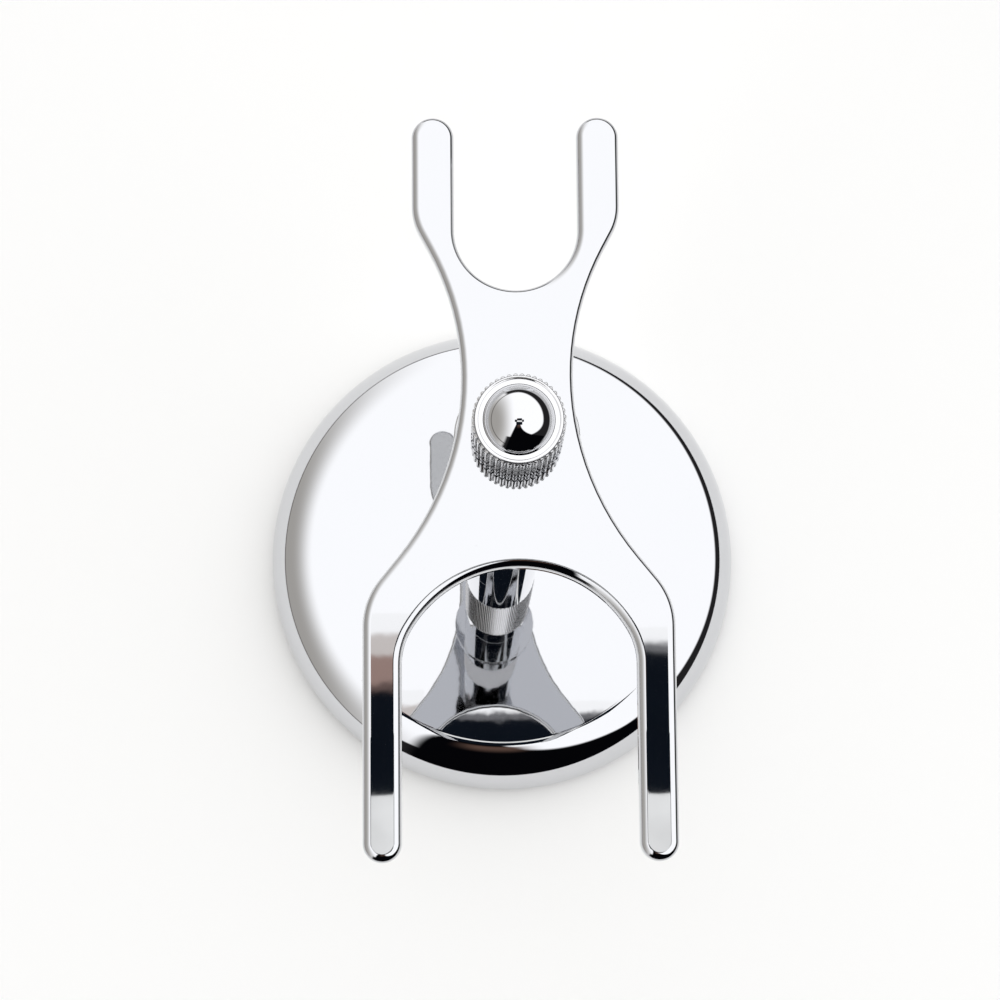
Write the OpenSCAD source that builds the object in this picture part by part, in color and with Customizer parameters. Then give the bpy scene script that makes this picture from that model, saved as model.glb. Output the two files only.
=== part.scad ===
// Razor and brush stand: a weighted round base, a three-section stem clamped on one
// threaded rod, and a flat forked holder plate held down by a knurled thumb nut.
// Millimetres, +Z up. The origin is on the stem's axis, in the plane the stand rests on.
// The wide brush fork points along -Y and the short razor fork along +Y.

/* [Base] */
// Outside diameter of the base cover
base_d = 82.4; // [76:0.1:96]
// Height of the base's flat top above the table
base_h = 10; // [9.6:0.1:14]
// Radius of the cover's rounded edge
base_edge_r = 8.2; // [6:0.1:8.6]
// Wall thickness of the cover
shell_t = 1.2; // [0.8:0.1:1.4]
// Thickness of the soft pad under the base
pad_t = 1.6; // [1.2:0.1:2]

/* [Stem] */
// Outside diameter of the plain stem tubes
stem_d = 12.7; // [12.6:0.1:14]
// Bore of the stem tubes
stem_bore = 9.5; // [9.4:0.1:9.8]
// Diameter over the crests of the knurled grip
grip_d = 13; // [12.6:0.1:14]
// Length of the lower plain tube
lower_len = 31; // [20:1:45]
// Length of the knurled grip
grip_len = 50; // [30:1:60]
// Length of the upper plain tube
upper_len = 38.5; // [25:0.5:50]
// Number of knurls round the grip
grip_teeth = 54; // [40:1:64]

/* [Seat flange] */
// Diameter of the flange under the plate
flange_d = 17; // [15:0.5:17]
// Thickness of the flange
flange_t = 2.5; // [2:0.1:4]

/* [Holder plate] */
// Thickness of the plate
plate_t = 3; // [2.5:0.1:4]
// Half width of the waist, its narrowest place
waist_half = 7.5; // [7:0.05:9]
// Distance of the waist behind the stem's axis
waist_y = 7.7; // [6:0.1:10]
// Half width over the brush fork
brush_half = 20.7; // [20:0.1:24]
// Half width of the brush opening
brush_gap_half = 15.55; // [14:0.05:16.5]
// Distance of the top of the brush opening in front of the stem's axis
brush_arch_y = 18; // [15:0.1:19]
// Distance of the brush fork's tips in front of the stem's axis
brush_tip_y = 56.7; // [50:0.1:62]
// Half width over the razor fork
razor_half = 14; // [13:0.05:15]
// Half width of the razor slot
razor_gap_half = 8.3; // [7:0.02:9]
// Distance of the bottom of the razor slot behind the stem's axis
razor_slot_y = 19.6; // [18:0.1:23]
// Distance of the razor fork's tips behind the stem's axis
razor_tip_y = 43.5; // [40:0.1:48]

/* [Thumb knob] */
// Diameter over the crests of the knob's knurls
knob_d = 12.4; // [12.2:0.1:14]
// Height of the knob's rim above its underside
knob_h = 9.8; // [9.6:0.1:12]
// Number of knurls round the knob
knob_teeth = 44; // [36:1:56]
// Diameter of the ball
ball_d = 10.2; // [9.8:0.1:10.4]
// Diameter of the ball's sides, turned straight to fit its seat
ball_side_d = 9.7; // [9:0.1:9.8]
// Depth of the ball's centre below the knob's rim
ball_sink = 2.15; // [1.8:0.05:2.2]

/* [Threads and fasteners] */
// Diameter of the threaded rod
rod_d = 5.9; // [5.9:0.01:5.94]
// Width across the flats of the base nut
nut_af = 10; // [9:1:10]
// Height of the base nut
nut_h = 3.2; // [3:0.1:3.2]

/* [Hidden] */
$fn = 96;

// Gaps: line contact between fixed pieces, free fit inside the base, running fit on the rod
fit_gap = 0.05;
free_gap = 0.3;
tap_d = rod_d + 0.04;
knob_bore_d = rod_d + 0.1;
plate_bore_d = rod_d + 0.2;
hole_d = 6.4;

// How far a cutting shape reaches past the solid it cuts
cut = 1;

// Base
base_r = base_d / 2;
foot_gap = 0.6;
pad_rim_gap = 1.3;
nut_recess = 0.2;
recess_d = 16;
washer_d = 12;
washer_t = 1.2;
lock_d = 11;
lock_t = 0.7;
lock_teeth = 12;
nut_z = pad_t + nut_recess;
lock_z = nut_z + nut_h;
washer_z = lock_z + lock_t;
recess_top = washer_z + washer_t;

// Stem levels
lower_z = base_h;
grip_z = lower_z + lower_len;
upper_z = grip_z + grip_len;
flange_z = upper_z + upper_len;
plate_z = flange_z + flange_t;
plate_top = plate_z + plate_t;

// Bushes sit in a counterbore in the end of each tube
bush_depth = 6;
seat_d = 10.4;
bush_d = seat_d - 2 * fit_gap;
bush_bore_d = rod_d + 0.2;
spigot_len = 4;
spigot_root = 0.1;
tube_chamfer = 0.25;

// Knob: a thin washer in its underside, a low and a tall knurled band with a groove between
thrust_t = 1;
thrust_d = 10;
thrust_z = plate_top + fit_gap;
knob_seat_gap = 0.35;
knob_z = plate_top + knob_seat_gap;
knob_top = knob_z + knob_h;
knurl_depth = 0.35;
knob_root_r = knob_d / 2 - knurl_depth;
knob_chamfer = 0.35;
foot_inset = 0.3;
end_inset = 0.05;
low_band_h = 1.25;
groove_w = 1.3;
groove_r = knob_root_r - 0.6;
tall_band_z = knob_chamfer + low_band_h + groove_w;
rim_chamfer = 0.25;
rod_reach = 5.5;
rod_end_gap = 0.2;
rod_top = knob_z + rod_reach;

// Ball: sunk in a flat-bottomed seat inside a shallow dish in the knob's top
ball_z = knob_top - ball_sink;
ball_flat = 1.6;
ball_foot = ball_z - ball_flat;
seat_r = ball_side_d / 2 + fit_gap;
rim_land = 0.4;
dish_r = knob_root_r - rim_land;
dish_floor_r = 5.2;
dish_depth = 0.15;

// Plate outline: sweep radii and angles of the waist, and the shoulders' radii
brush_sweep_r = 38.5;
brush_sweep_a = 39;
brush_shoulder_r = 10;
razor_sweep_r = 37;
razor_sweep_a = 28;
razor_shoulder_r = 8;
arch_r = 16.6;
arch_corner_r = 9;
arc_step = 3;
on_axis = 0.001;

// Points of an arc about [cx, cy], from angle a to angle b
function arc(cx, cy, r, a, b) =
    let (n = max(2, ceil(abs(b - a) / arc_step)))
    [for (i = [0 : n]) let (t = a + (b - a) * i / n) [cx + r * cos(t), cy + r * sin(t)]];

// Right half of the brush opening, from its top down to the inside of the prong
function brush_inner() =
    let (cy = -brush_arch_y - arch_r,
         dx = brush_gap_half - arch_corner_r,
         dy = sqrt(pow(arch_r - arch_corner_r, 2) - dx * dx),
         a = atan2(dy, dx))
    concat(arc(0, cy, arch_r, 90, a), arc(dx, cy + dy, arch_corner_r, a, 0));

// Round end of one brush prong, from its inner to its outer edge
function brush_tip() =
    let (r = (brush_half - brush_gap_half) / 2)
    arc(brush_half - r, -brush_tip_y + r, r, 180, 360);

// Outer edge from a fork's shoulder to the waist: side is -1 for brush and 1 for razor
function flank(side, half, shoulder_r, sweep_r, a) =
    let (x1 = waist_half + sweep_r * (1 - cos(a)),
         y1 = sweep_r * sin(a),
         x2 = half - shoulder_r * (1 - cos(a)),
         y2 = y1 + (x2 - x1) / tan(a),
         cy = waist_y + side * (y2 + shoulder_r * sin(a)))
    concat(arc(half - shoulder_r, cy, shoulder_r, 0, -side * a),
           arc(waist_half + sweep_r, waist_y, sweep_r, 180 - side * a, 180));

function reversed(p) = [for (i = [len(p) - 1 : -1 : 0]) p[i]];

// Round end of one razor prong, then the slot's round bottom up to the centre line
function razor_inner() =
    let (r = (razor_half - razor_gap_half) / 2)
    concat(arc(razor_half - r, razor_tip_y - r, r, 0, 180),
           arc(0, razor_slot_y + razor_gap_half, razor_gap_half, 0, -90));

function right_half() =
    concat(brush_inner(), brush_tip(),
           flank(-1, brush_half, brush_shoulder_r, brush_sweep_r, brush_sweep_a),
           reversed(flank(1, razor_half, razor_shoulder_r, razor_sweep_r, razor_sweep_a)),
           razor_inner());

function mirrored(p) = [for (q = reversed(p)) if (q[0] > on_axis) [-q[0], q[1]]];

// Outline of a knurled bar: one crest and one root for each knurl
function knurl_outline(crest_r, root_r, teeth) =
    [for (i = [0 : 2 * teeth - 1])
        let (r = i % 2 == 0 ? crest_r : root_r, t = 180 * i / teeth)
        [r * cos(t), r * sin(t)]];

module ring(outer_d, inner_d, h) {
    difference() {
        cylinder(d = outer_d, h = h);
        translate([0, 0, -cut]) cylinder(d = inner_d, h = h + 2 * cut);
    }
}

// Half section of a round cover with a quarter-round edge
module cover_section(r, top, edge_r, low) {
    translate([0, low]) square([r - edge_r, top - low]);
    translate([0, low]) square([r, top - edge_r - low]);
    translate([r - edge_r, top - edge_r]) intersection() {
        circle(r = edge_r);
        square(edge_r);
    }
}

// Stem tube with a counterbore at each end that takes a bush
module stem_tube(len, foot_seat, head_seat) {
    difference() {
        union() {
            cylinder(d1 = stem_d - 2 * tube_chamfer, d2 = stem_d, h = tube_chamfer);
            translate([0, 0, tube_chamfer]) cylinder(d = stem_d, h = len - 2 * tube_chamfer);
            translate([0, 0, len - tube_chamfer])
                cylinder(d1 = stem_d, d2 = stem_d - 2 * tube_chamfer, h = tube_chamfer);
        }
        translate([0, 0, -cut]) cylinder(d = stem_bore, h = len + 2 * cut);
        translate([0, 0, -cut]) cylinder(d = seat_d, h = foot_seat + cut);
        translate([0, 0, len - head_seat]) cylinder(d = seat_d, h = head_seat + cut);
    }
}

module joint_bush(z) {
    color("goldenrod") translate([0, 0, z - bush_depth + fit_gap])
        ring(bush_d, bush_bore_d, 2 * bush_depth - 2 * fit_gap);
}

module base_shell() {
    color("gainsboro") rotate_extrude() difference() {
        cover_section(base_r, base_h, base_edge_r, foot_gap);
        cover_section(base_r - shell_t, base_h - shell_t, base_edge_r - shell_t, -cut);
        translate([0, -cut]) square([hole_d / 2, base_h + 2 * cut]);
    }
    color("gainsboro") translate([0, 0, base_h - shell_t]) ring(base_r, hole_d, shell_t);
}

module ballast_disc() {
    color("dimgray") difference() {
        rotate_extrude() cover_section(base_r - shell_t - free_gap, base_h - shell_t,
                                       base_edge_r - shell_t, pad_t);
        translate([0, 0, pad_t - cut]) cylinder(d = recess_d, h = recess_top - pad_t + cut);
        cylinder(d = hole_d, h = base_h);
    }
}

module base_pad() {
    chamfer = 0.3;
    pad_r = base_r - shell_t - pad_rim_gap;
    color([0.1, 0.1, 0.1]) {
        cylinder(r1 = pad_r - chamfer, r2 = pad_r, h = chamfer);
        translate([0, 0, chamfer]) cylinder(r = pad_r, h = pad_t - chamfer);
    }
}

module base_washer() {
    color("silver") translate([0, 0, washer_z]) ring(washer_d, hole_d, washer_t);
}

module lock_washer() {
    slot_w = 1;
    slot_in = 1.2;
    color("silver") translate([0, 0, lock_z]) difference() {
        ring(lock_d, hole_d, lock_t);
        for (i = [0 : lock_teeth - 1])
            rotate([0, 0, 360 * i / lock_teeth])
                translate([lock_d / 2 - slot_in, -slot_w / 2, -cut])
                    cube([slot_in + cut, slot_w, lock_t + 2 * cut]);
    }
}

module base_nut() {
    color("silver") translate([0, 0, nut_z]) difference() {
        cylinder(d = nut_af / cos(30), h = nut_h, $fn = 6);
        translate([0, 0, -cut]) cylinder(d = tap_d, h = nut_h + 2 * cut);
    }
}

module tie_rod() {
    chamfer = 0.6;
    color("silver") {
        translate([0, 0, nut_z]) cylinder(d1 = rod_d - 2 * chamfer, d2 = rod_d, h = chamfer);
        translate([0, 0, nut_z + chamfer])
            cylinder(d = rod_d, h = rod_top - nut_z - 2 * chamfer);
        translate([0, 0, rod_top - chamfer])
            cylinder(d1 = rod_d, d2 = rod_d - 2 * chamfer, h = chamfer);
    }
}

module foot_bush() {
    color("goldenrod") translate([0, 0, lower_z])
        ring(bush_d, bush_bore_d, bush_depth - fit_gap);
}

module lower_tube() {
    color("gainsboro") translate([0, 0, lower_z]) stem_tube(lower_len, bush_depth, bush_depth);
}

module lower_joint_bush() {
    joint_bush(grip_z);
}

module knurled_grip() {
    plain = 0.6;
    core_inset = 0.1;
    neck_r = stem_d / 2 - tube_chamfer;
    color("silver") translate([0, 0, grip_z]) difference() {
        union() {
            cylinder(r = neck_r - core_inset, h = grip_len);
            translate([0, 0, plain]) linear_extrude(grip_len - 2 * plain)
                polygon(knurl_outline(grip_d / 2, neck_r, grip_teeth));
        }
        translate([0, 0, -cut]) cylinder(d = stem_bore, h = grip_len + 2 * cut);
        translate([0, 0, -cut]) cylinder(d = seat_d, h = bush_depth + cut);
        translate([0, 0, grip_len - bush_depth]) cylinder(d = seat_d, h = bush_depth + cut);
    }
}

module upper_joint_bush() {
    joint_bush(upper_z);
}

module upper_tube() {
    color("gainsboro") translate([0, 0, upper_z]) stem_tube(upper_len, bush_depth, 0);
}

module seat_flange() {
    land = 0.1;
    edge_r = (flange_t - land) / 2;
    color("gainsboro") difference() {
        union() {
            translate([0, 0, flange_z]) rotate_extrude() {
                square([flange_d / 2 - edge_r, flange_t]);
                translate([flange_d / 2 - edge_r, flange_t / 2]) intersection() {
                    circle(r = edge_r);
                    translate([0, -edge_r]) square([edge_r, 2 * edge_r]);
                }
            }
            translate([0, 0, flange_z - spigot_len])
                cylinder(d = stem_bore - 2 * fit_gap, h = spigot_len + spigot_root);
        }
        translate([0, 0, flange_z - spigot_len - cut])
            cylinder(d = tap_d, h = spigot_len + flange_t + 2 * cut);
    }
}

module holder_plate() {
    right = right_half();
    color("gainsboro") translate([0, 0, plate_z]) difference() {
        linear_extrude(plate_t) polygon(concat(right, mirrored(right)));
        translate([0, 0, -cut]) cylinder(d = plate_bore_d, h = plate_t + 2 * cut);
    }
}

module knob_washer() {
    color("silver") translate([0, 0, thrust_z]) ring(thrust_d, hole_d, thrust_t);
}

module knob_band(z, h) {
    translate([0, 0, z]) linear_extrude(h)
        polygon(knurl_outline(knob_d / 2, knob_root_r, knob_teeth));
}

module thumb_knob() {
    pocket_gap = 0.2;
    pocket_top = thrust_z + thrust_t + fit_gap;
    end_r = knob_root_r - end_inset;
    over = 0.1;
    over_r = dish_floor_r + (dish_r - dish_floor_r) * (dish_depth + over) / dish_depth;
    color("gainsboro") difference() {
        translate([0, 0, knob_z]) union() {
            cylinder(r1 = knob_root_r - foot_inset, r2 = end_r, h = knob_chamfer);
            translate([0, 0, knob_chamfer]) cylinder(r = groove_r, h = knob_h - 2 * knob_chamfer);
            knob_band(knob_chamfer, low_band_h);
            knob_band(tall_band_z, knob_h - rim_chamfer - tall_band_z);
            translate([0, 0, knob_h - rim_chamfer])
                cylinder(r1 = end_r, r2 = end_r - rim_chamfer, h = rim_chamfer);
        }
        translate([0, 0, knob_z - cut]) cylinder(d = thrust_d + pocket_gap, h = pocket_top - knob_z + cut);
        translate([0, 0, knob_z]) cylinder(d = knob_bore_d, h = rod_top + rod_end_gap - knob_z);
        translate([0, 0, ball_foot]) cylinder(r = seat_r, h = knob_top - ball_foot + cut);
        translate([0, 0, knob_top - dish_depth])
            cylinder(r1 = dish_floor_r, r2 = over_r, h = dish_depth + over);
    }
}

module finial_ball() {
    color("gainsboro") intersection() {
        translate([0, 0, ball_z]) sphere(d = ball_d);
        translate([0, 0, ball_foot]) cylinder(d = ball_side_d, h = ball_d);
    }
}

base_shell();
ballast_disc();
base_pad();
base_washer();
lock_washer();
base_nut();
tie_rod();
foot_bush();
lower_tube();
lower_joint_bush();
knurled_grip();
upper_joint_bush();
upper_tube();
seat_flange();
holder_plate();
knob_washer();
thumb_knob();
finial_ball();
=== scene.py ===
"""Looks of the chrome razor and brush stand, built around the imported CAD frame.

Turned parts are lathed from profiles made of lines and arcs, with exact normals, because polished chrome
shows every flat. The holder plate is lofted from the CAD plate's own outline. The knurls and threads are
real geometry. Lengths are in metres; MM turns millimetres into metres.
"""

import math

import bmesh
import bpy
import numpy as np
from mathutils import Euler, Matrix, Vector


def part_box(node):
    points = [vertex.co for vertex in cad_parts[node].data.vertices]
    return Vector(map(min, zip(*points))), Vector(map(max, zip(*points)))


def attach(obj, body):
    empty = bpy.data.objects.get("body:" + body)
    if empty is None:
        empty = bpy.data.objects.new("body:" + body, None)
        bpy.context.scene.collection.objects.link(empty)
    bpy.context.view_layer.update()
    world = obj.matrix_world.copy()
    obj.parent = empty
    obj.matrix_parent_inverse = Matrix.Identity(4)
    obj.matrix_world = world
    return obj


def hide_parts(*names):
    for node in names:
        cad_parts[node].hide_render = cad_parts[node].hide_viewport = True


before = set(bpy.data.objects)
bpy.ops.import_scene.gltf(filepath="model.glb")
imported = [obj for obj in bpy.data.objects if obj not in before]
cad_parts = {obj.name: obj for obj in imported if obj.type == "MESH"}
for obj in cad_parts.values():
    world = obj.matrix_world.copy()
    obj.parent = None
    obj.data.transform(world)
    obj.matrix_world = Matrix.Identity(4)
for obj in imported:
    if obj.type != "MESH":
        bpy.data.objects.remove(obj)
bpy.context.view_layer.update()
MM = 0.001
SEGMENTS = 192  # round a lathed piece

# Sizes that more than one piece or material needs
KNURL_DEPTH = 0.38 * MM
BALL_RADIUS = 5.1 * MM
TUBE_BORE = 5.2 * MM
# The groove between the thumb nut's bands: its lowest and highest level above the nut's underside
GROOVE_LOW, GROOVE_HIGH = 1.6 * MM, 2.9 * MM


# ---------------------------------------------------------------- mesh helpers


def add_object(name, data):
    """Puts a new object with this mesh or camera data into the scene."""
    obj = bpy.data.objects.new(name, data)
    bpy.context.scene.collection.objects.link(obj)
    return obj


class Skin:
    """Vertices, faces and one normal per face corner, collected before they become a mesh."""

    def __init__(self):
        self.verts, self.faces, self.normals = [], [], []

    def add_verts(self, points):
        first = len(self.verts)
        self.verts.extend(tuple(p) for p in points)
        return first

    def add_face(self, corners, normals=None):
        if normals is None:
            a, b, c = (Vector(self.verts[i]) for i in corners[:3])
            n = (b - a).cross(c - a).normalized()
            normals = [tuple(n)] * len(corners)
        self.faces.append(tuple(corners))
        self.normals.append([tuple(n) for n in normals])

    def to_mesh(self, name):
        mesh = bpy.data.meshes.new(name)
        mesh.from_pydata(self.verts, [], self.faces)
        mesh.polygons.foreach_set("use_smooth", [True] * len(mesh.polygons))
        return mesh

    def to_object(self, name):
        """Object with the collected normals."""
        mesh = self.to_mesh(name)
        mesh.normals_split_custom_set([n for face in self.normals for n in face])
        mesh.update()
        return add_object(name, mesh)

    def to_creased_object(self, name, angle_deg):
        """Object that is smooth except across edges sharper than the angle."""
        mesh = self.to_mesh(name)
        mesh.set_sharp_from_angle(angle=math.radians(angle_deg))
        return add_object(name, mesh)


def line_run(start, end, steps=1):
    """Straight stretch of a profile: points (r, z) with the normal on the right of the way along it."""
    (r0, z0), (r1, z1) = start, end
    size = math.hypot(r1 - r0, z1 - z0)
    normal = ((z1 - z0) / size, -(r1 - r0) / size)
    return [((r0 + (r1 - r0) * i / steps, z0 + (z1 - z0) * i / steps), normal) for i in range(steps + 1)]


def arc_run(centre, radius, start, end, steps=10):
    """Round stretch of a profile, from angle start to end in degrees; it bulges out when the angle grows."""
    side = 1 if end > start else -1
    run = []
    for i in range(steps + 1):
        a = math.radians(start + (end - start) * i / steps)
        run.append(((centre[0] + radius * math.cos(a), centre[1] + radius * math.sin(a)),
                    (side * math.cos(a), side * math.sin(a))))
    return run


def round_corner(before, corner, after, radius, steps=6):
    """Arc that rounds a right-angled or slanted outside corner between two straight stretches."""
    a, c, b = Vector(before), Vector(corner), Vector(after)
    u, v = (a - c).normalized(), (b - c).normalized()
    half = u.angle(v) / 2
    centre = c + (u + v).normalized() * radius / math.sin(half)
    start, end = c + u * radius / math.tan(half) - centre, c + v * radius / math.tan(half) - centre
    a0, a1 = math.atan2(start.y, start.x), math.atan2(end.y, end.x)
    turn = (a1 - a0 + math.pi) % (2 * math.pi) - math.pi
    return arc_run(centre, radius, math.degrees(a0), math.degrees(a0 + turn), steps)


def rounded_profile(corners, radii, steps=6):
    """Runs of a profile through corner points, each corner rounded by its radius; 0 leaves it sharp."""
    runs, last = [], corners[0]
    for i in range(1, len(corners)):
        if i < len(corners) - 1 and radii[i] > 0:
            arc = round_corner(corners[i - 1], corners[i], corners[i + 1], radii[i], steps)
            runs.append(line_run(last, arc[0][0]))
            runs.append(arc)
            last = arc[-1][0]
        else:
            runs.append(line_run(last, corners[i]))
            last = corners[i]
    return runs


def turned(name, runs, segments=SEGMENTS, closed=True):
    """Piece lathed from profile runs about the Z axis. A closed profile's last point meets its first."""
    skin = Skin()
    angles = [2 * math.pi * k / segments for k in range(segments)]
    turn = [(math.cos(a), math.sin(a)) for a in angles]

    def ring(point):
        r, z = point
        if r < 1e-7:
            return [skin.add_verts([(0, 0, z)])] * segments
        first = skin.add_verts((r * c, r * s, z) for c, s in turn)
        return list(range(first, first + segments))

    def corner_normal(normal, k):
        c, s = turn[k % segments]
        return (normal[0] * c, normal[0] * s, normal[1])

    first_ring = previous = ring(runs[0][0][0])
    for i, run in enumerate(runs):
        for j in range(1, len(run)):
            (p0, n0), (p1, n1) = run[j - 1], run[j]
            is_last = closed and i == len(runs) - 1 and j == len(run) - 1
            current = first_ring if is_last else ring(p1)
            for k in range(segments):
                m = (k + 1) % segments
                corners = [previous[k], previous[m], current[m], current[k]]
                normals = [corner_normal(n0, k), corner_normal(n0, m),
                           corner_normal(n1, m), corner_normal(n1, k)]
                kept = [q for q in range(4) if corners[q] not in corners[:q]]
                skin.add_face([corners[q] for q in kept], [normals[q] for q in kept])
            previous = current
    return skin.to_object(name)


def facet_normals(points, angle_deg):
    """Corner normals of a closed outline: smooth across its gentle corners, sharp across the others."""
    pts = np.array(points, float)
    edge = np.roll(pts, -1, 0) - pts
    flat = np.stack([edge[:, 1], -edge[:, 0]], 1)
    flat /= np.linalg.norm(flat, axis=1)[:, None]
    starts, ends = flat.copy(), flat.copy()
    for i in range(len(pts)):
        if flat[i - 1] @ flat[i] > math.cos(math.radians(angle_deg)):
            mean = flat[i - 1] + flat[i]
            mean /= np.linalg.norm(mean)
            starts[i], ends[i - 1] = mean, mean
    return starts, ends


def dress(obj, material, body, slot, *nodes):
    """Gives a new piece its material and the body it moves with, and hides the CAD nodes it stands for; slot
    is not used.
    """
    obj.data.materials.append(material)
    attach(obj, body)
    if nodes:
        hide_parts(*nodes)
    return obj


# ---------------------------------------------------------------- materials


class Nodes:
    """Short way to add and join shader nodes."""

    def __init__(self, tree):
        self.tree = tree
        tree.nodes.clear()

    def add(self, kind, **settings):
        node = self.tree.nodes.new(kind)
        inputs = settings.pop("inputs", {})
        for key, value in settings.items():
            setattr(node, key, value)
        for key, value in inputs.items():
            if isinstance(value, bpy.types.NodeSocket):
                self.link(value, node.inputs[key])
            else:
                node.inputs[key].default_value = value
        return node

    def math(self, operation, *values):
        return self.add("ShaderNodeMath", operation=operation, inputs=dict(enumerate(values))).outputs[0]

    def step(self, value, low, high, to_low=0.0, to_high=1.0):
        """Smooth step from to_low to to_high while value goes from low to high."""
        return self.add("ShaderNodeMapRange", interpolation_type="SMOOTHSTEP",
                        inputs={0: value, 1: low, 2: high, 3: to_low, 4: to_high}).outputs[0]

    def mix(self, factor, a, b):
        return self.add("ShaderNodeMix", data_type="RGBA", inputs={0: factor, 6: a, 7: b}).outputs[2]

    def axes(self, place):
        """X, Y and Z of a place."""
        return self.add("ShaderNodeSeparateXYZ", inputs={0: place}).outputs

    def length(self, vector):
        return self.add("ShaderNodeVectorMath", operation="LENGTH", inputs={0: vector}).outputs["Value"]

    def radius(self, place):
        """Distance of a place from the stem's axis."""
        flat = self.add("ShaderNodeVectorMath", operation="MULTIPLY", inputs={0: place, 1: (1, 1, 0)})
        return self.length(flat.outputs[0])

    def link(self, value, socket):
        self.tree.links.new(value, socket)

    def bump(self, shader, height, strength, distance):
        """Gives a shader's surface a relief."""
        relief = self.add("ShaderNodeBump",
                          inputs={"Height": height, "Strength": strength, "Distance": distance})
        self.link(relief.outputs[0], shader.inputs["Normal"])

    def noise(self, vector, scale, detail=3.0, roughness=0.55):
        return self.add("ShaderNodeTexNoise",
                        inputs={"Vector": vector, "Scale": scale, "Detail": detail,
                                "Roughness": roughness}).outputs["Fac"]


# Chrome: its dust colour, the painted shade in knurl roots and grooves, and the soft edge of a groove's
# painted shade
DUST, ROOT_SHADE = (0.42, 0.42, 0.43, 1), (0.10, 0.10, 0.11, 1)
GROOVE_SOFT = 0.05 * MM


def new_material(name):
    material = bpy.data.materials.new(name)
    material.use_nodes = True
    nodes = Nodes(material.node_tree)
    shader = nodes.add("ShaderNodeBsdfPrincipled")
    nodes.add("ShaderNodeOutputMaterial", inputs={"Surface": shader.outputs[0]})
    place = nodes.add("ShaderNodeTexCoord").outputs["Object"]
    return material, nodes, shader, place


def polished_chrome(name, tint, haze, wave, hairlines=0.2, knurl=None, groove=None):
    """Bright chrome plate: a nearly perfect mirror with faint haze, dust and polishing hairlines.

    knurl gives two radii: the chrome is satin outside the first, and painted shade darkens its knurl roots,
    clearing from dark to bright between them. groove gives the lowest and highest level of a groove in the
    knurl that is darkened with painted shade.
    """
    material, nodes, shader, place = new_material(name)
    shader.inputs["Metallic"].default_value = 1.0
    cloud = nodes.noise(place, 55.0, 4.0)
    specks = nodes.step(nodes.noise(place, 2600.0, 1.0), 0.76, 0.82)
    stretched = nodes.add("ShaderNodeMapping", inputs={"Vector": place, "Scale": (9.0, 0.7, 3.0),
                                                       "Rotation": (0.0, 0.0, 0.6)}).outputs[0]
    lines = nodes.step(nodes.noise(stretched, 420.0, 5.0, 0.7), 0.55, 0.75)
    speck_rough, satin_rough = 0.05, 0.2
    rough = nodes.math("MULTIPLY_ADD", cloud, haze, haze * 0.6)
    rough = nodes.math("MULTIPLY_ADD", lines, haze * hairlines * 3, rough)
    rough = nodes.math("MULTIPLY_ADD", specks, speck_rough, rough)
    painted_shade = None
    if knurl:
        root, crest = knurl
        radius = nodes.radius(place)
        before, after, dark_end, bright_end = 0.02 * MM, 0.04 * MM, 0.06 * MM, 0.12 * MM
        cut = nodes.step(radius, root - before, root + after)
        rough = nodes.math("MULTIPLY_ADD", cut, satin_rough, rough)
        # Painted shade: the colour darkens the knurl's tooth roots and clears towards the crests
        depth = nodes.step(radius, root + dark_end, crest - bright_end, 0.8, 0.0)
        painted_shade = nodes.math("MULTIPLY", cut, depth)
    # Painted shade: the colour darkens the groove between the knurl's bands
    if groove:
        low, high = groove
        level = nodes.axes(place)[2]
        inside = nodes.math("MULTIPLY", nodes.step(level, low - GROOVE_SOFT, low),
                            nodes.step(level, high, high + GROOVE_SOFT, 1.0, 0.0))
        painted_shade = nodes.math("MAXIMUM", painted_shade, nodes.math("MULTIPLY", inside, 0.9))
    nodes.link(rough, shader.inputs["Roughness"])
    dulled = (tint[0] * 0.9, tint[1] * 0.9, tint[2] * 0.92, 1)
    dusty = nodes.mix(nodes.math("MULTIPLY", specks, 0.2), tint + (1,), DUST)
    color = nodes.mix(nodes.math("MULTIPLY", cloud, 0.12), dusty, dulled)
    if painted_shade:
        color = nodes.mix(painted_shade, color, ROOT_SHADE)
    nodes.link(color, shader.inputs["Base Color"])
    nodes.bump(shader, nodes.noise(place, 240.0, 2.0), wave, 0.4 * MM)
    return material


def plated_steel(name, tint, grain_scale, roughness):
    """Bright zinc plate over turned or rolled steel, with fine grain and cloudy patches."""
    material, nodes, shader, place = new_material(name)
    shader.inputs["Metallic"].default_value = 1.0
    cloud = nodes.noise(place, 160.0, 4.0)
    grain = nodes.noise(place, grain_scale, 3.0, 0.7)
    rough = nodes.math("MULTIPLY_ADD", grain, 0.16, roughness)
    nodes.link(rough, shader.inputs["Roughness"])
    darker = tuple(c * 0.72 for c in tint) + (1,)
    nodes.link(nodes.mix(cloud, darker, tint + (1,)), shader.inputs["Base Color"])
    nodes.bump(shader, grain, 0.25, 0.05 * MM)
    return material


def cast_ballast(name):
    """Dark oiled iron with turning marks round the stem's axis and a pitted skin."""
    material, nodes, shader, place = new_material(name)
    shader.inputs["Metallic"].default_value = 0.85
    shader.inputs["Roughness"].default_value = 0.45
    turning_marks = 9000.0
    rings = nodes.math("SINE", nodes.math("MULTIPLY", nodes.radius(place), turning_marks))
    pits = nodes.noise(place, 700.0, 5.0, 0.7)
    color = nodes.mix(pits, (0.05, 0.05, 0.055, 1), (0.17, 0.165, 0.16, 1))
    nodes.link(color, shader.inputs["Base Color"])
    height = nodes.math("MULTIPLY_ADD", rings, 0.3, pits)
    nodes.bump(shader, height, 0.5, 0.1 * MM)
    return material


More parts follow.
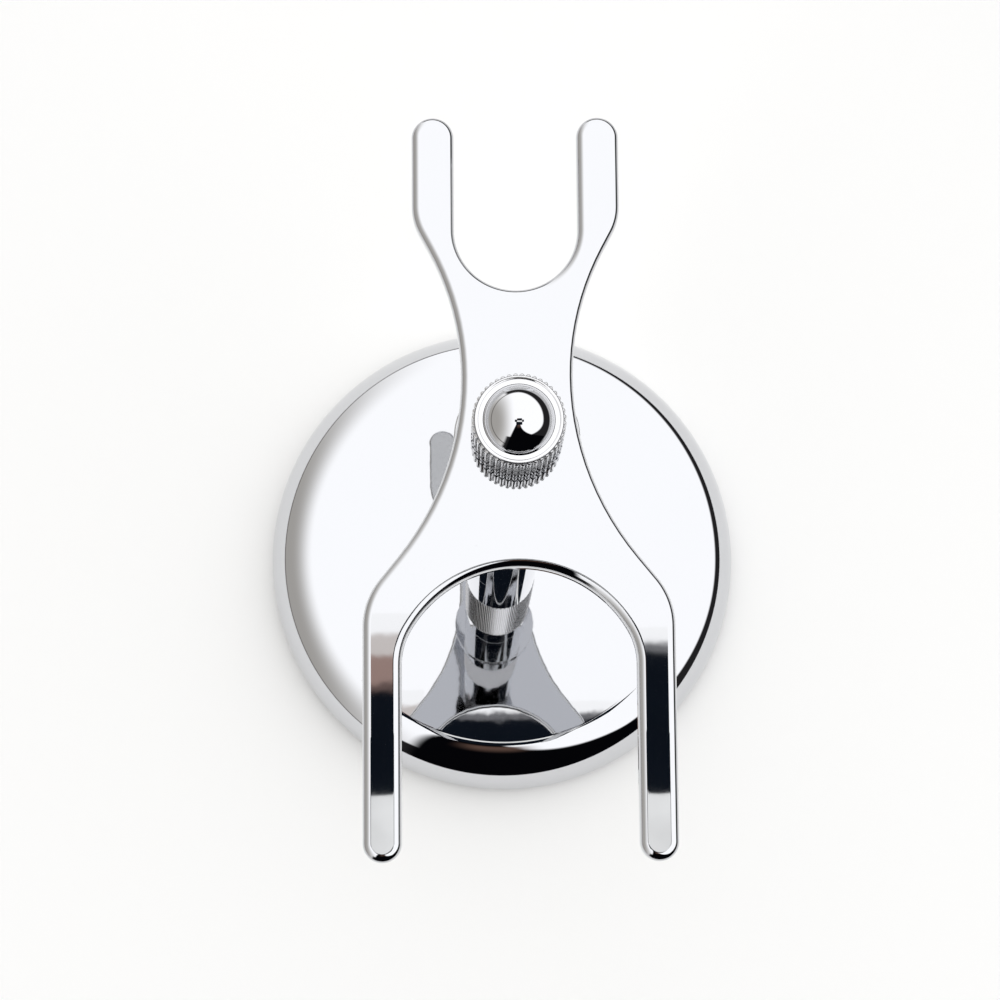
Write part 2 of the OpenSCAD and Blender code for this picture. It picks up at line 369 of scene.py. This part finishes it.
def foam_rubber(name):
    """Black closed-cell foam rubber: fine cells, a faint bloom and soft wear."""
    material, nodes, shader, place = new_material(name)
    cells = nodes.add("ShaderNodeTexVoronoi", inputs={"Vector": place, "Scale": 1500.0}).outputs["Distance"]
    bloom = nodes.noise(place, 70.0, 5.0, 0.6)
    color = nodes.mix(bloom, (0.012, 0.012, 0.013, 1), (0.05, 0.05, 0.052, 1))
    nodes.link(color, shader.inputs["Base Color"])
    nodes.link(nodes.math("MULTIPLY_ADD", bloom, 0.2, 0.7), shader.inputs["Roughness"])
    shader.inputs["Specular IOR Level"].default_value = 0.35
    height = nodes.math("ADD", cells, nodes.noise(place, 3000.0, 2.0))
    nodes.bump(shader, height, 0.6, 0.12 * MM)
    return material


CHROME = (0.665, 0.672, 0.69)
chrome_cover = polished_chrome("chrome_cover", CHROME, haze=0.014, wave=0.005)
chrome_tube = polished_chrome("chrome_tube", CHROME, haze=0.022, wave=0.004)
chrome_plate = polished_chrome("chrome_plate", CHROME, haze=0.018, wave=0.004)
knob_foot, knob_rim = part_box("thumb_knob")
knob_crest, grip_crest = knob_rim.x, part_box("knurled_grip")[1].x
# The knurl's satin and painted root shade stop this far below the crest; the groove's painted shade reaches
# this far past the groove
bright_tips, groove_edge = 0.08 * MM, 0.1 * MM
chrome_knob = polished_chrome("chrome_knob", (0.74, 0.74, 0.75), haze=0.02, wave=0.004,
                              knurl=(knob_crest - KNURL_DEPTH - bright_tips, knob_crest - bright_tips),
                              groove=(knob_foot.z + GROOVE_LOW - groove_edge,
                                      knob_foot.z + GROOVE_HIGH + groove_edge))
chrome_ball = polished_chrome("chrome_ball", (0.69, 0.695, 0.71), haze=0.012, wave=0.002, hairlines=0.05)
# Grip knurl radii measured down from its crest: where its satin and painted root shade begin, and near where
# that shade clears
grip_dark, grip_bright = 0.47 * MM, 0.12 * MM
chrome_knurl = polished_chrome("chrome_knurl", (0.80, 0.80, 0.81), haze=0.05, wave=0.002,
                               knurl=(grip_crest - grip_dark, grip_crest - grip_bright))
steel_rod = plated_steel("zinc_rod", (0.62, 0.63, 0.64), 2500.0, 0.24)
steel_zinc = plated_steel("zinc_hardware", (0.66, 0.67, 0.70), 1800.0, 0.28)
brass = plated_steel("turned_brass", (0.74, 0.53, 0.24), 2200.0, 0.22)
iron = cast_ballast("ballast_iron")
rubber = foam_rubber("foam_rubber")


# ---------------------------------------------------------------- base


def build_cover():
    """Spun cover: mirror-flat top, quarter-round edge, and a small rolled lip at the bottom."""
    low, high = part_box("base_shell")
    radius, foot, top = high.x, low.z, high.z
    edge, wall, lip, taper = 8.2 * MM, 1.2 * MM, 0.5 * MM, 0.1 * MM
    hole = 3.2 * MM
    flat, side = radius - edge, top - edge
    runs = [
        line_run((hole, top - wall), (flat, top - wall)),
        arc_run((flat, side), edge - wall, 90, 0, 16),
        line_run((radius - wall, side), (radius - wall, foot + lip)),
        arc_run((radius - lip - taper, foot + lip), lip, 180, 360, 10),
        line_run((radius - taper, foot + lip), (radius, side)),
        arc_run((flat, side), edge, 0, 90, 40),
        line_run((flat, top), (hole, top), 12),
        line_run((hole, top), (hole, top - wall)),
    ]
    return turned("base_cover", runs, 256)


def build_pad():
    """Foam rubber pad with a rounded rim and two shallow ring grooves in its underside."""
    low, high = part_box("base_pad")
    r, z0, z1 = high.x, low.z, high.z
    depth, half, slope = 0.4 * MM, 1.0 * MM, 0.4 * MM
    corners = [(0, z0)]
    for groove in (12 * MM, 32 * MM):
        corners += [(groove - half, z0), (groove - half + slope, z0 + depth),
                    (groove + half - slope, z0 + depth), (groove + half, z0)]
    corners += [(r, z0), (r, z1), (0, z1)]
    radii = [0] * (len(corners) - 3) + [0.5 * MM, 0.2 * MM, 0]
    return turned("foot_pad", rounded_profile(corners, radii), 160, closed=False)


# ---------------------------------------------------------------- stem


def build_tube(name, node, foot_edge, head_edge):
    """Plain tube; foot_edge and head_edge are the radii of its outer edges."""
    low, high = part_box(node)
    outer = high.x
    corners = [(TUBE_BORE, low.z), (outer, low.z), (outer, high.z), (TUBE_BORE, high.z), (TUBE_BORE, low.z)]
    return turned(name, rounded_profile(corners, [0, foot_edge, head_edge, 0, 0], 5))


def build_flange():
    """Seat flange: a disc with rounded edges and a spigot that centres it in the stem."""
    low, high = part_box("seat_flange")
    r, top, thickness = high.x, high.z, 2.5 * MM
    under = top - thickness
    spigot, bore = 4.7 * MM, 2.97 * MM
    corners = [(bore, low.z), (spigot, low.z), (spigot, under), (r, under), (r, top), (bore, top),
               (bore, low.z)]
    radii = [0, 0.2 * MM, 0, 0.06 * MM, 0.3 * MM, 0, 0]
    return turned("stem_flange", rounded_profile(corners, radii, 10))


def build_grip():
    """Knurled grip: crossed V grooves leave rows of four-sided points between two plain end rings."""
    low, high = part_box("knurled_grip")
    z0, z1, crest = low.z, high.z, high.x
    root, neck = crest - 0.32 * MM, crest - 0.42 * MM
    plain, around = 0.55 * MM, 54
    pitch_z = 1.05 * MM
    rows = 2 * round((z1 - z0 - 2 * plain) / pitch_z)
    start, end = z0 + plain, z1 - plain
    skin = Skin()

    def point(u, v, r):
        a = 2 * math.pi * u / around
        return (r * math.cos(a), r * math.sin(a), start + (end - start) * v / rows)

    def row_of(v, shift, r):
        """One row of points, moved on by half a step where shift is 1."""
        return skin.add_verts(point(i + 0.5 * shift, v, r) for i in range(around))

    valley = [row_of(v, v % 2, root) for v in range(rows + 1)]
    peak = [row_of(v, (v + 1) % 2, crest) for v in range(rows + 1)]

    def at(rings, v, i):
        return rings[v] + i % around

    for v in range(rows + 1):
        odd = v % 2
        for i in range(around):
            tip = at(peak, v, i)
            left = at(valley, v, i) if not odd else at(valley, v, i - 1)
            right = at(valley, v, i + 1) if not odd else at(valley, v, i)
            if v < rows:
                above = at(valley, v + 1, i)
                skin.add_face([tip, right, above])
                skin.add_face([left, tip, above])
            if v > 0:
                below = at(valley, v - 1, i)
                skin.add_face([tip, below, right])
                skin.add_face([left, below, tip])

    def close_end(v, z, outward):
        """Joins the serrated end of the knurl to a plain ring, then runs down to the bore."""
        ring = []
        for i in range(around):
            first, second = at(valley, v, i), at(peak, v, i)
            ring += [first, second] if v % 2 == 0 else [second, first]
        count = len(ring)
        turns = [2 * math.pi * k / count for k in range(count)]
        knurl_end = skin.verts[ring[0]][2]
        inner_ring = skin.add_verts((neck * math.cos(a), neck * math.sin(a), knurl_end) for a in turns)
        outer_ring = skin.add_verts((neck * math.cos(a), neck * math.sin(a), z) for a in turns)
        bore_ring = skin.add_verts((TUBE_BORE * math.cos(a), TUBE_BORE * math.sin(a), z) for a in turns)
        for k in range(count):
            m = (k + 1) % count
            quads = [[ring[k], ring[m], inner_ring + m, inner_ring + k],
                     [inner_ring + k, inner_ring + m, outer_ring + m, outer_ring + k],
                     [outer_ring + k, outer_ring + m, bore_ring + m, bore_ring + k]]
            radial = [(math.cos(turns[q]), math.sin(turns[q]), 0) for q in (k, m)]
            for index, quad in enumerate(quads):
                is_side = index == 1
                normals = [radial[q] for q in (0, 1, 1, 0)] if is_side else [(0, 0, outward)] * 4
                order = [0, 1, 2, 3] if outward > 0 else [3, 2, 1, 0]
                skin.add_face([quad[q] for q in order], [normals[q] for q in order])
        return bore_ring, count

    top_bore, count = close_end(rows, z1, 1)
    bottom_bore, _ = close_end(0, z0, -1)
    for k in range(count):
        m = (k + 1) % count
        skin.add_face([top_bore + k, top_bore + m, bottom_bore + m, bottom_bore + k])
    return skin.to_object("grip_knurl")


# ---------------------------------------------------------------- threaded rod


# Thread profile: how steep its flanks are, and how flat its crests
FLANK_SLOPE, CREST_FLAT = 1.15, 0.08


def build_rod():
    """Tie rod: M6 thread rolled on both ends, plain shank between."""
    low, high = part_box("tie_rod")
    z0, z1, crest = low.z, high.z, high.x
    pitch, depth, around, per_turn = 1.0 * MM, 0.45 * MM, 48, 8
    top_length, bottom_length, bevel = 22 * MM, 14 * MM, 0.6 * MM
    top_thread, bottom_thread = z1 - top_length, z0 + bottom_length
    heights = []
    for a, b in ((z0, bottom_thread), (top_thread, z1)):
        count = round((b - a) / pitch * per_turn)
        heights += [a + (b - a) * i / count for i in range(count + 1)]
    skin = Skin()
    rings = []
    for z in heights:
        points = []
        for k in range(around):
            turn = k / around
            wave = abs(((z / pitch - turn) % 1.0) - 0.5) * 2
            inside = bottom_thread - z if z <= bottom_thread else z - top_thread
            fade = max(0.0, min(1.0, inside / pitch))
            groove = min(1.0, max(0.0, FLANK_SLOPE * wave - CREST_FLAT))
            r = crest - depth * groove * fade
            r = min(r, crest - bevel + (z1 - z), crest - bevel + (z - z0))
            points.append((r * math.cos(2 * math.pi * turn), r * math.sin(2 * math.pi * turn), z))
        rings.append(skin.add_verts(points))
    for lower, upper in zip(rings, rings[1:]):
        for k in range(around):
            m = (k + 1) % around
            skin.add_face([lower + k, lower + m, upper + m, upper + k])
    skin.add_face([rings[0] + k for k in reversed(range(around))])
    skin.add_face([rings[-1] + k for k in range(around)])
    return skin.to_object("stem_rod")


# ---------------------------------------------------------------- holder plate


def outline_of(node):
    """Outer outline of a CAD plate, as ordered (x, y) points, read from the edges of its top face."""
    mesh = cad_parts[node].data
    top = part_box(node)[1].z
    decimals, flatness = 7, 1e-6

    def spot(i):
        return round(mesh.vertices[i].co.x, decimals), round(mesh.vertices[i].co.y, decimals)

    counts = {}
    for face in mesh.polygons:
        if all(abs(mesh.vertices[i].co.z - top) < flatness for i in face.vertices):
            ids = list(face.vertices)
            for a, b in zip(ids, ids[1:] + ids[:1]):
                pair = (spot(a), spot(b))
                counts[pair] = counts.get(pair, 0) + 1
    border = {a: b for (a, b) in counts if (b, a) not in counts}
    start = max(border, key=lambda p: abs(p[0]) + abs(p[1]))
    loop, here = [start], border[start]
    while here != start:
        loop.append(here)
        here = border[here]
    area = sum(p[0] * q[1] - q[0] * p[1] for p, q in zip(loop, loop[1:] + loop[:1]))
    return loop if area > 0 else loop[::-1]


def build_plate():
    """Holder plate: softly rounded upper edge, tighter lower edge, and the bore for the rod."""
    low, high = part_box("holder_plate")
    z0, z1 = low.z, high.z
    soft, hard = 1.15 * MM, 0.7 * MM
    lower_steps, upper_steps = 8, 12
    bore, bore_segments = 3.05 * MM, 96
    outline = np.array(outline_of("holder_plate"))
    starts, ends = facet_normals(outline, 60)
    mean = starts + np.roll(ends, 1, 0)
    mean /= np.linalg.norm(mean, axis=1)[:, None]
    skin = Skin()
    levels = []
    for i in range(lower_steps + 1):
        a = math.radians(-90 + 90 * i / lower_steps)
        levels.append((hard * (1 - math.cos(a)), z0 + hard + hard * math.sin(a), math.cos(a), math.sin(a)))
    for i in range(upper_steps + 1):
        a = math.radians(90 * i / upper_steps)
        levels.append((soft * (1 - math.cos(a)), z1 - soft + soft * math.sin(a), math.cos(a), math.sin(a)))
    count = len(outline)
    rings = []
    for inset, z, *_ in levels:
        points = outline - mean * inset
        rings.append(skin.add_verts((p[0], p[1], z) for p in points))
    for (lower, a), (upper, b) in zip(zip(rings, levels), zip(rings[1:], levels[1:])):
        for k in range(count):
            m = (k + 1) % count
            around = ((k, a), (m, a), (m, b), (k, b))
            normals = [(mean[q][0] * level[2], mean[q][1] * level[2], level[3]) for q, level in around]
            skin.add_face([lower + k, lower + m, upper + m, upper + k], normals)

    def bore_ring(z):
        turns = [2 * math.pi * k / bore_segments for k in range(bore_segments)]
        return skin.add_verts((bore * math.cos(a), bore * math.sin(a), z) for a in turns)

    under, over = bore_ring(z0), bore_ring(z1)
    for k in range(bore_segments):
        m = (k + 1) % bore_segments
        skin.add_face([over + k, over + m, under + m, under + k])
    caps = [(rings[-1], over, 1), (rings[0], under, -1)]
    obj = skin.to_object("fork_plate")
    add_caps(obj, caps, count, bore_segments)
    return obj


def add_caps(obj, caps, count, bore_segments):
    """Fills the plate's flat faces between its outline and its bore, keeping their normals level."""
    mesh = obj.data
    old = [tuple(n.vector) for n in mesh.corner_normals]
    body_corners = len(old)
    bm = bmesh.new()
    bm.from_mesh(mesh)
    bm.verts.ensure_lookup_table()
    sides = []
    for outer, inner, side in caps:
        edges = [bm.edges.get((bm.verts[s + k], bm.verts[s + (k + 1) % n]))
                 for s, n in ((outer, count), (inner, bore_segments)) for k in range(n)]
        made = bmesh.ops.triangle_fill(bm, edges=edges, use_beauty=True, normal=(0, 0, side))
        faces = [f for f in made["geom"] if isinstance(f, bmesh.types.BMFace)]
        for f in faces:
            f.smooth = True
            if f.normal.z * side < 0:
                f.normal_flip()
        sides.append((faces, side))
    corner_total = sum(3 for faces, side in sides for f in faces)
    bm.faces.index_update()
    level = {f.index: side for faces, side in sides for f in faces}
    bm.to_mesh(mesh)
    bm.free()
    normals = []
    for face in mesh.polygons:
        if face.index in level:
            normals += [(0, 0, level[face.index])] * face.loop_total
        else:
            normals += old[face.loop_start:face.loop_start + face.loop_total]
    assert len(normals) == body_corners + corner_total
    mesh.normals_split_custom_set(normals)


# ---------------------------------------------------------------- thumb nut


def build_knob():
    """Thumb nut: two bands of upright teeth, a groove between them, and a dish round the ball's seat."""
    low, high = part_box("thumb_knob")
    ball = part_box("finial_ball")
    z0, z1, crest = low.z, high.z, high.x
    teeth, wave = 44, (0.0, 0.35, 0.8, 0.96, 1.0, 0.96, 0.8, 0.35)
    root = crest - KNURL_DEPTH
    groove = root - 0.55 * MM
    bore, pocket, pocket_h = 2.99 * MM, 5.1 * MM, 0.75 * MM
    seat, seat_floor, lip_height = ball[1].x + 0.05 * MM, ball[0].z, 0.35 * MM
    rim, dish_floor, dish_depth = root - 0.12 * MM, 5.3 * MM, 0.15 * MM
    low_foot, low_head = z0 + 0.35 * MM, z0 + GROOVE_LOW
    tall_foot, tall_head = z0 + GROOVE_HIGH, z1 - 0.22 * MM
    foot_chamfer, groove_slope, rim_round = 0.3 * MM, 0.04 * MM, 0.2 * MM
    blunt, rounded = 0.08 * MM, 0.55 * MM
    rim_steps, dish_steps = 5, 8
    ball_rise = ball[1].z - BALL_RADIUS - (z1 - dish_depth)
    seat_lip = math.sqrt(BALL_RADIUS ** 2 - ball_rise ** 2) + 0.04 * MM

    def tooth_end(z, tip):
        """Levels at one end of a band: the teeth rise out of the root along a round of height tip."""
        rise = [(0.0, 0.0), (0.06, 0.38), (0.2, 0.68), (0.45, 0.9), (1.0, 1.0)]
        return [(root, share, z + tip * part) for part, share in rise]

    levels = [(bore, 0, z0 + pocket_h), (pocket, 0, z0 + pocket_h), (pocket, 0, z0),
              (root - foot_chamfer, 0, z0), (root - 0.1 * foot_chamfer, 0, z0 + foot_chamfer)]
    levels += tooth_end(low_foot, blunt) + tooth_end(low_head, -blunt)[::-1]
    levels += [(groove, 0, low_head + groove_slope), (groove, 0, tall_foot - groove_slope)]
    levels += tooth_end(tall_foot, blunt) + tooth_end(tall_head, -rounded)[::-1]
    for i in range(rim_steps + 1):
        a = math.radians(90 * i / rim_steps)
        levels.append((rim + (root - rim) * math.cos(a), 0, z1 - rim_round + rim_round * math.sin(a)))
    for i in range(1, dish_steps + 1):
        a = math.radians(90 * i / dish_steps)
        inward = rim - (rim - dish_floor) * math.sin(a)
        levels.append((inward, 0, z1 - dish_depth * (1 - math.cos(a))))
    levels += [(seat_lip, 0, z1 - dish_depth), (seat, 0, z1 - dish_depth - lip_height)]
    levels += [(seat, 0, seat_floor), (bore, 0, seat_floor)]
    around = teeth * len(wave)
    shape = np.array([wave[k % len(wave)] for k in range(around)])
    turns = np.arange(around) * 2 * math.pi / around
    skin = Skin()
    rings = []
    for r, share, z in levels:
        radii = r + KNURL_DEPTH * share * shape
        rings.append(skin.add_verts(zip(radii * np.cos(turns), radii * np.sin(turns), [z] * around)))
    for lower, upper in zip(rings, rings[1:] + rings[:1]):
        for k in range(around):
            m = (k + 1) % around
            skin.faces.append((lower + k, lower + m, upper + m, upper + k))
    return skin.to_creased_object("knob_body", 50)


def build_ball():
    """Polished ball, turned straight round its sides and flat underneath to fit its seat in the thumb nut."""
    low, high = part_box("finial_ball")
    side, foot, top = high.x, low.z, high.z
    centre = top - BALL_RADIUS
    shoulder = math.acos(side / BALL_RADIUS)
    edge = centre + BALL_RADIUS * math.sin(shoulder)
    runs = [line_run((0, foot), (side, foot)),
            line_run((side, foot), (side, edge)),
            arc_run((0, centre), BALL_RADIUS, math.degrees(shoulder), 90, 90)]
    runs[-1][-1] = ((0.0, top), (0.0, 1.0))
    return turned("ball_top", runs, 160, closed=False)


# ---------------------------------------------------------------- pieces


dress(build_cover(), chrome_cover, "stand", "cover_chrome", "base_shell")
dress(build_pad(), rubber, "stand", "pad_rubber", "base_pad")
dress(build_tube("stem_lower", "lower_tube", 0.1 * MM, 0.28 * MM),
      chrome_tube, "stand", "tube_chrome", "lower_tube")
dress(build_grip(), chrome_knurl, "stand", "knurl_chrome", "knurled_grip")
dress(build_tube("stem_upper", "upper_tube", 0.28 * MM, 0.06 * MM),
      chrome_tube, "stand", "tube_chrome", "upper_tube")
dress(build_flange(), chrome_tube, "stand", "flange_chrome", "seat_flange")
dress(build_rod(), steel_rod, "stand", "rod_steel", "tie_rod")
dress(build_plate(), chrome_plate, "holder", "plate_chrome", "holder_plate")
dress(build_knob(), chrome_knob, "knob", "knob_chrome", "thumb_knob")
dress(build_ball(), chrome_ball, "knob", "ball_chrome", "finial_ball")

for node, material in {"ballast_disc": iron, "base_washer": steel_zinc, "lock_washer": steel_zinc,
                       "base_nut": steel_zinc, "foot_bush": brass, "lower_joint_bush": brass,
                       "upper_joint_bush": brass, "knob_washer": steel_zinc}.items():
    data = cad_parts[node].data
    data.materials.clear()
    data.materials.append(material)


# ---------------------------------------------------------------- studio


# Camera: its place and its lens in millimetres, and its turn in degrees
CAMERA_PLACE, CAMERA_TURN, CAMERA_LENS = (-8.24, -64.23, 504.83), (8.493, -0.835, -0.457), 101.52

# The table: its radius and thickness, the distances over which painted shade turns it from white to grey and
# its painted glow fades, and its colours
TABLE_RADIUS, TABLE_THICKNESS = 0.5, 0.01
WHITE_REACH, GREY_REACH = 0.11, 0.45
TABLE_WHITE, TABLE_PAINTED_SHADE, TABLE_PAINTED_GLOW = (0.86, 0.86, 0.85, 1), (0.62, 0.62, 0.63, 1), 0.12

# Colours of the cards over the stand, and their height
DEEP, SMOKE, BRIGHT = (0.004, 0.006, 0.010), (0.2, 0.2, 0.21), (1.35, 1.35, 1.35)
DARK_SKIN, SKIN, PALE, HAZE = (0.16, 0.11, 0.10), (0.42, 0.29, 0.255), (0.80, 0.74, 0.71), (0.80, 0.80, 0.79)
CARD_HEIGHT = 505 * MM

# The cards, in millimetres: name, low and high corner, glow at the low edge, then each band's y and colour
CARDS = [
    ("card_over", (-20, -31.6), (52, 12), DEEP, (5.5, SMOKE), (8.0, BRIGHT)),
    ("card_left", (-42, -31.6), (-20, 16), DEEP,
     (-4.6, DARK_SKIN), (-2.6, SKIN), (5.0, PALE), (10.5, BRIGHT)),
    ("card_tips", (-42, -58), (54, -31.6), HAZE),
    ("card_front", (-58, -116), (58, -58), DEEP),
    ("card_wing_left", (-84, -58), (-42, -16), DEEP),
    ("card_wing_right", (54, -58), (88, -16), DEEP),
]

# Colours of the room that the chrome mirrors
WHITE, GREY, SKIRTING = (1.44, 1.44, 1.45, 1), (0.50, 0.48, 0.45, 1), (0.13, 0.12, 0.11, 1)
DARK, BLACK, BROWN = (0.022, 0.021, 0.022, 1), (0.002, 0.002, 0.003, 1), (0.13, 0.078, 0.06, 1)
FLOOR, BACKDROP = (0.66, 0.66, 0.67, 1), (0.93, 0.935, 0.93, 1)


def build_table():
    """Round table top, white round the stand, where a painted glow lights it, and turned pale grey further
    out by painted shade.
    """
    material, nodes, shader, place = new_material("white_table")
    shader.inputs["Roughness"].default_value = 0.9
    shader.inputs["Emission Color"].default_value = (1, 1, 0.995, 1)
    far = nodes.step(nodes.length(place), WHITE_REACH, GREY_REACH)
    nodes.link(nodes.mix(far, TABLE_WHITE, TABLE_PAINTED_SHADE), shader.inputs["Base Color"])
    # Painted light: the table glows near the stand, and the glow fades where the painted shade turns it grey
    nodes.link(nodes.math("MULTIPLY_ADD", far, -TABLE_PAINTED_GLOW, TABLE_PAINTED_GLOW), shader.inputs["Emission Strength"])
    corners = [(0, -TABLE_THICKNESS), (TABLE_RADIUS, -TABLE_THICKNESS), (TABLE_RADIUS, 0.0), (0, 0.0)]
    obj = turned("table_top", rounded_profile(corners, [0, 0, 0, 0]), 96, closed=False)
    obj.data.materials.append(material)


def build_card(name, low, high, near_glow, *bands):
    """Card over the stand, from corner low to corner high: a shape near the camera that only reflections see.

    It glows near_glow at its low edge, and changes softly to a band's colour where the band's y begins.
    """
    material, nodes, shader, place = new_material(name)
    shader.inputs["Base Color"].default_value = (0, 0, 0, 1)
    shader.inputs["Specular IOR Level"].default_value = 0.0
    shader.inputs["Emission Strength"].default_value = 1.0
    rag, soft_start, soft_end, gain = 4.0, 1.0, 3.0, 1.8
    ragged = nodes.math("MULTIPLY_ADD", nodes.noise(place, 130.0, 3.0), rag * MM, nodes.axes(place)[1])
    sheen = nodes.noise(place, 45.0, 3.0)
    glow = nodes.mix(sheen, near_glow + (1,), tuple(gain * c for c in near_glow) + (1,))
    for begins, color in bands:
        here = nodes.step(ragged, (begins + soft_start) * MM, (begins + soft_end) * MM)
        glow = nodes.mix(here, glow, color + (1,))
    nodes.link(glow, shader.inputs["Emission Color"])
    (x0, y0), (x1, y1) = low, high
    mesh = bpy.data.meshes.new(name)
    corners = [(x0, y0), (x1, y0), (x1, y1), (x0, y1)]
    mesh.from_pydata([(x * MM, y * MM, CARD_HEIGHT) for x, y in corners], [], [(0, 3, 2, 1)])
    obj = add_object(name, mesh)
    obj.data.materials.append(material)
    for flag in ("visible_camera", "visible_diffuse", "visible_shadow"):
        setattr(obj, flag, False)


def build_world():
    """Bright room for the chrome to mirror: white overhead, grey to the left, dark low down and in front."""
    world = bpy.data.worlds.new("studio")
    bpy.context.scene.world = world
    world.use_nodes = True
    nodes = Nodes(world.node_tree)
    axes = nodes.axes(nodes.add("ShaderNodeTexCoord").outputs["Generated"])
    x, y, z = axes[0], axes[1], axes[2]
    just_over_zero = 0.0001  # front divides further down
    front = nodes.math("MAXIMUM", nodes.math("MULTIPLY", y, -1.0), just_over_zero)

    # White room, grey to the left, with a thin dark line at the horizon
    room = nodes.mix(nodes.step(x, -0.95, -0.18, 1.0, 0.0), WHITE, GREY)
    room = nodes.mix(nodes.step(nodes.math("ABSOLUTE", z), 0.015, 0.05, 0.75, 0.0), room, SKIRTING)

    # Dark low down, rising to the right and in front, but not at the left
    rise = nodes.math("MULTIPLY_ADD", nodes.math("MAXIMUM", x, 0.0), 0.26, 0.02)
    rise = nodes.math("MULTIPLY_ADD", nodes.math("MULTIPLY", front, front), 0.85, rise)
    low = nodes.step(nodes.math("SUBTRACT", z, rise), -0.07, 0.03, 1.0, 0.0)
    right = nodes.step(nodes.math("MULTIPLY_ADD", front, 0.25, x), -0.46, -0.32)
    room = nodes.mix(nodes.math("MULTIPLY", low, right), room, DARK)

    # Black shape of a person in front, whose upper edge falls to the right, with brown hands high up
    lean = nodes.math("DIVIDE", x, front)
    shoulder = nodes.math("SUBTRACT", z, nodes.math("MULTIPLY_ADD", lean, -0.63, 1.06))
    person = nodes.math("MULTIPLY", nodes.step(shoulder, -0.04, 0.03, 1.0, 0.0),
                        nodes.step(lean, -0.6, -0.48))
    room = nodes.mix(nodes.math("MULTIPLY", person, nodes.step(front, 0.12, 0.16)), room, BLACK)
    hands = nodes.step(nodes.math("ABSOLUTE", nodes.math("ADD", lean, 0.02)), 0.1, 0.36, 1.0, 0.0)
    near = nodes.math("MULTIPLY", nodes.step(front, 0.18, 0.26), nodes.step(front, 0.28, 0.5, 1.0, 0.0))
    room = nodes.mix(nodes.math("MULTIPLY", hands, near), room, BROWN)

    # Pale floor past the table, except in front
    under = nodes.math("MULTIPLY", nodes.step(z, -0.25, -0.17, 1.0, 0.0),
                       nodes.step(front, 0.45, 0.7, 1.0, 0.0))
    room = nodes.mix(under, room, FLOOR)

    # What the camera sees directly is a plain backdrop
    seen = nodes.add("ShaderNodeLightPath").outputs["Is Camera Ray"]
    color = nodes.mix(seen, room, BACKDROP)
    shine = nodes.add("ShaderNodeBackground", inputs={"Color": color})
    nodes.add("ShaderNodeOutputWorld", inputs={"Surface": shine.outputs[0]})


def build_camera():
    """High camera, a little in front of the stand and to its left, looking down the stem."""
    camera = add_object("camera", bpy.data.cameras.new("camera"))
    camera.data.sensor_width = 36
    camera.data.lens = CAMERA_LENS
    camera.location = Vector(CAMERA_PLACE) * MM
    camera.rotation_euler = Euler([math.radians(a) for a in CAMERA_TURN])
    bpy.context.scene.camera = camera


build_table()
for card in CARDS:
    build_card(*card)
build_world()
build_camera()
bpy.context.scene.view_settings.view_transform = "Standard"
